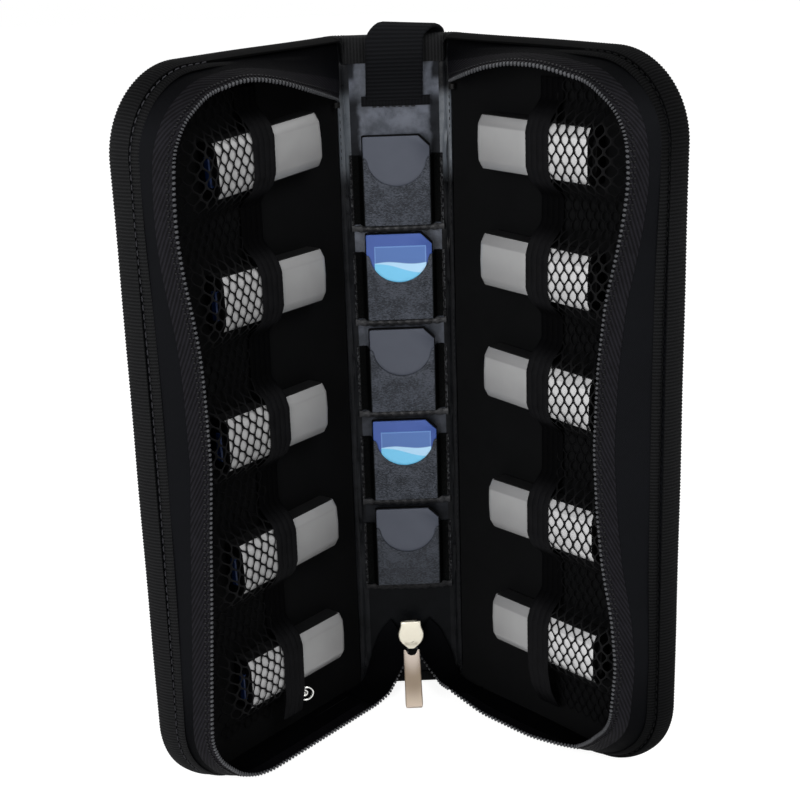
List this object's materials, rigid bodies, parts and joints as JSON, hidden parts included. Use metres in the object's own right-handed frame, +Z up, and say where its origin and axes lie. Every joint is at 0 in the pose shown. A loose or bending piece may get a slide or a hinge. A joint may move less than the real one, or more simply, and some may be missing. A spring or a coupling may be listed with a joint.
{
  "type": "usb drive wallet",
  "caption": "Upright zip-around wallet that opens like a book, with net pockets for USB drives on both wings and pockets for memory cards down the spine.",
  "frame": {"origin": "middle of the spine's lower end, where the open wallet stands", "axes": "+Z up along the spine, +X to the viewer's right, the spine's inner face looks to -Y"},
  "size_m": [0.1834, 0.0959, 0.2606],
  "materials": {
    "nylon": "close woven",
    "lining_cloth": "plain weave",
    "edge_tape": "ribbed weave",
    "zip_tape": "twill",
    "zip_teeth": "satin",
    "zip_metal": "satin",
    "elastic": "corded",
    "net": "knitted mesh",
    "fold_skin": "glossy coated",
    "lining_skin": "glossy coated",
    "webbing": "ribbed weave",
    "drive_case": "satin painted",
    "ring_metal": "polished",
    "card_grey": "satin",
    "card_blue": "satin"
  },
  "bodies": {
    "spine": {"spine_panel": "nylon", "spine_lining": "lining_skin", "spine_tape_top": "edge_tape", "spine_tape_foot": "edge_tape", "hinge_fold_left": "fold_skin", "hinge_fold_right": "fold_skin", "carry_loop": "webbing", "zip_corner_left": "nylon", "zip_corner_right": "nylon", "zip_tail_teeth_left": "zip_teeth", "zip_tail_teeth_right": "zip_teeth", "card_pocket_1": "lining_skin", "card_pocket_2": "lining_skin", "card_pocket_3": "lining_skin", "card_pocket_4": "lining_skin", "card_pocket_5": "lining_skin"},
    "wing_left": {"cover_left": "nylon", "lining_left": "lining_cloth", "edge_tape_left": "edge_tape", "side_wall_left": "nylon", "wall_strip_left": "edge_tape", "zip_tape_left": "zip_tape", "zip_teeth_left": "zip_teeth", "zip_stop_left": "zip_metal", "elastic_trim_left": "elastic", "net_pocket_left": "net", "lining_eyelet": "ring_metal"},
    "wing_right": {"cover_right": "nylon", "lining_right": "lining_cloth", "edge_tape_right": "edge_tape", "side_wall_right": "nylon", "wall_strip_right": "edge_tape", "zip_tape_right": "zip_tape", "zip_teeth_right": "zip_teeth", "zip_stop_right": "zip_metal", "elastic_trim_right": "elastic", "net_pocket_right": "net"},
    "slider": {"zip_slider": "zip_metal"},
    "pull": {"zip_pull": "zip_metal"},
    "drive_left_1": {"usb_drive_left_1": "drive_case"},
    "drive_left_2": {"usb_drive_left_2": "drive_case"},
    "drive_left_3": {"usb_drive_left_3": "drive_case"},
    "drive_left_4": {"usb_drive_left_4": "drive_case"},
    "drive_left_5": {"usb_drive_left_5": "drive_case"},
    "drive_right_1": {"usb_drive_right_1": "drive_case"},
    "drive_right_2": {"usb_drive_right_2": "drive_case"},
    "drive_right_3": {"usb_drive_right_3": "drive_case"},
    "drive_right_4": {"usb_drive_right_4": "drive_case"},
    "drive_right_5": {"usb_drive_right_5": "drive_case"},
    "card_1": {"memory_card_1": "card_grey"},
    "card_2": {"memory_card_2": "card_blue"},
    "card_3": {"memory_card_3": "card_grey"},
    "card_4": {"memory_card_4": "card_blue"},
    "card_5": {"memory_card_5": "card_grey"}
  },
  "joints": [
    {"name": "wing_left_fold", "type": "hinge", "parent": "spine", "child": "wing_left", "pos_m": [-0.02025, 0, 0], "axis": [0, 0, -1], "range_deg": [-40.5, 49.5]},
    {"name": "wing_right_fold", "type": "hinge", "parent": "spine", "child": "wing_right", "pos_m": [0.02025, 0, 0], "axis": [0, 0, 1], "range_deg": [-40.5, 49.5]},
    {"name": "zip_slider_travel", "type": "slide", "parent": "spine", "child": "slider", "axis": [0, 0, -1], "range_m": [0, 0.004]},
    {"name": "zip_pull_hinge", "type": "hinge", "parent": "slider", "child": "pull", "pos_m": [0, -0.01086, 0.0194], "axis": [-1, 0, 0], "range_deg": [0, 110]},
    {"name": "drive_left_1_pull_out", "type": "slide", "parent": "wing_left", "child": "drive_left_1", "axis": [0.6481, 0.7588, 0.0645], "range_m": [0, 0.013]},
    {"name": "drive_left_2_pull_out", "type": "slide", "parent": "wing_left", "child": "drive_left_2", "axis": [0.6494, 0.7604, 0], "range_m": [0, 0.013]},
    {"name": "drive_left_3_pull_out", "type": "slide", "parent": "wing_left", "child": "drive_left_3", "axis": [0.6494, 0.7604, 0], "range_m": [0, 0.013]},
    {"name": "drive_left_4_pull_out", "type": "slide", "parent": "wing_left", "child": "drive_left_4", "axis": [0.6492, 0.7601, 0.0262], "range_m": [0, 0.013]},
    {"name": "drive_left_5_pull_out", "type": "slide", "parent": "wing_left", "child": "drive_left_5", "axis": [0.6494, 0.7604, 0], "range_m": [0, 0.013]},
    {"name": "drive_right_1_pull_out", "type": "slide", "parent": "wing_right", "child": "drive_right_1", "axis": [-0.6494, 0.7604, 0], "range_m": [0, 0.013]},
    {"name": "drive_right_2_pull_out", "type": "slide", "parent": "wing_right", "child": "drive_right_2", "axis": [-0.6493, 0.7603, 0.0175], "range_m": [0, 0.013]},
    {"name": "drive_right_3_pull_out", "type": "slide", "parent": "wing_right", "child": "drive_right_3", "axis": [-0.649, 0.7599, 0.0366], "range_m": [0, 0.013]},
    {"name": "drive_right_4_pull_out", "type": "slide", "parent": "wing_right", "child": "drive_right_4", "axis": [-0.6493, 0.7603, -0.0175], "range_m": [0, 0.013]},
    {"name": "drive_right_5_pull_out", "type": "slide", "parent": "wing_right", "child": "drive_right_5", "axis": [-0.6494, 0.7604, 0], "range_m": [0, 0.013]},
    {"name": "card_1_pull_out", "type": "slide", "parent": "spine", "child": "card_1", "axis": [0, -0.1064, 0.9943], "range_m": [0, 0.03]},
    {"name": "card_2_pull_out", "type": "slide", "parent": "spine", "child": "card_2", "axis": [0, -0.1064, 0.9943], "range_m": [0, 0.03]},
    {"name": "card_3_pull_out", "type": "slide", "parent": "spine", "child": "card_3", "axis": [0, -0.1064, 0.9943], "range_m": [0, 0.03]},
    {"name": "card_4_pull_out", "type": "slide", "parent": "spine", "child": "card_4", "axis": [0, -0.1064, 0.9943], "range_m": [0, 0.03]},
    {"name": "card_5_pull_out", "type": "slide", "parent": "spine", "child": "card_5", "axis": [0, -0.1064, 0.9943], "range_m": [0, 0.03]}
  ]
}
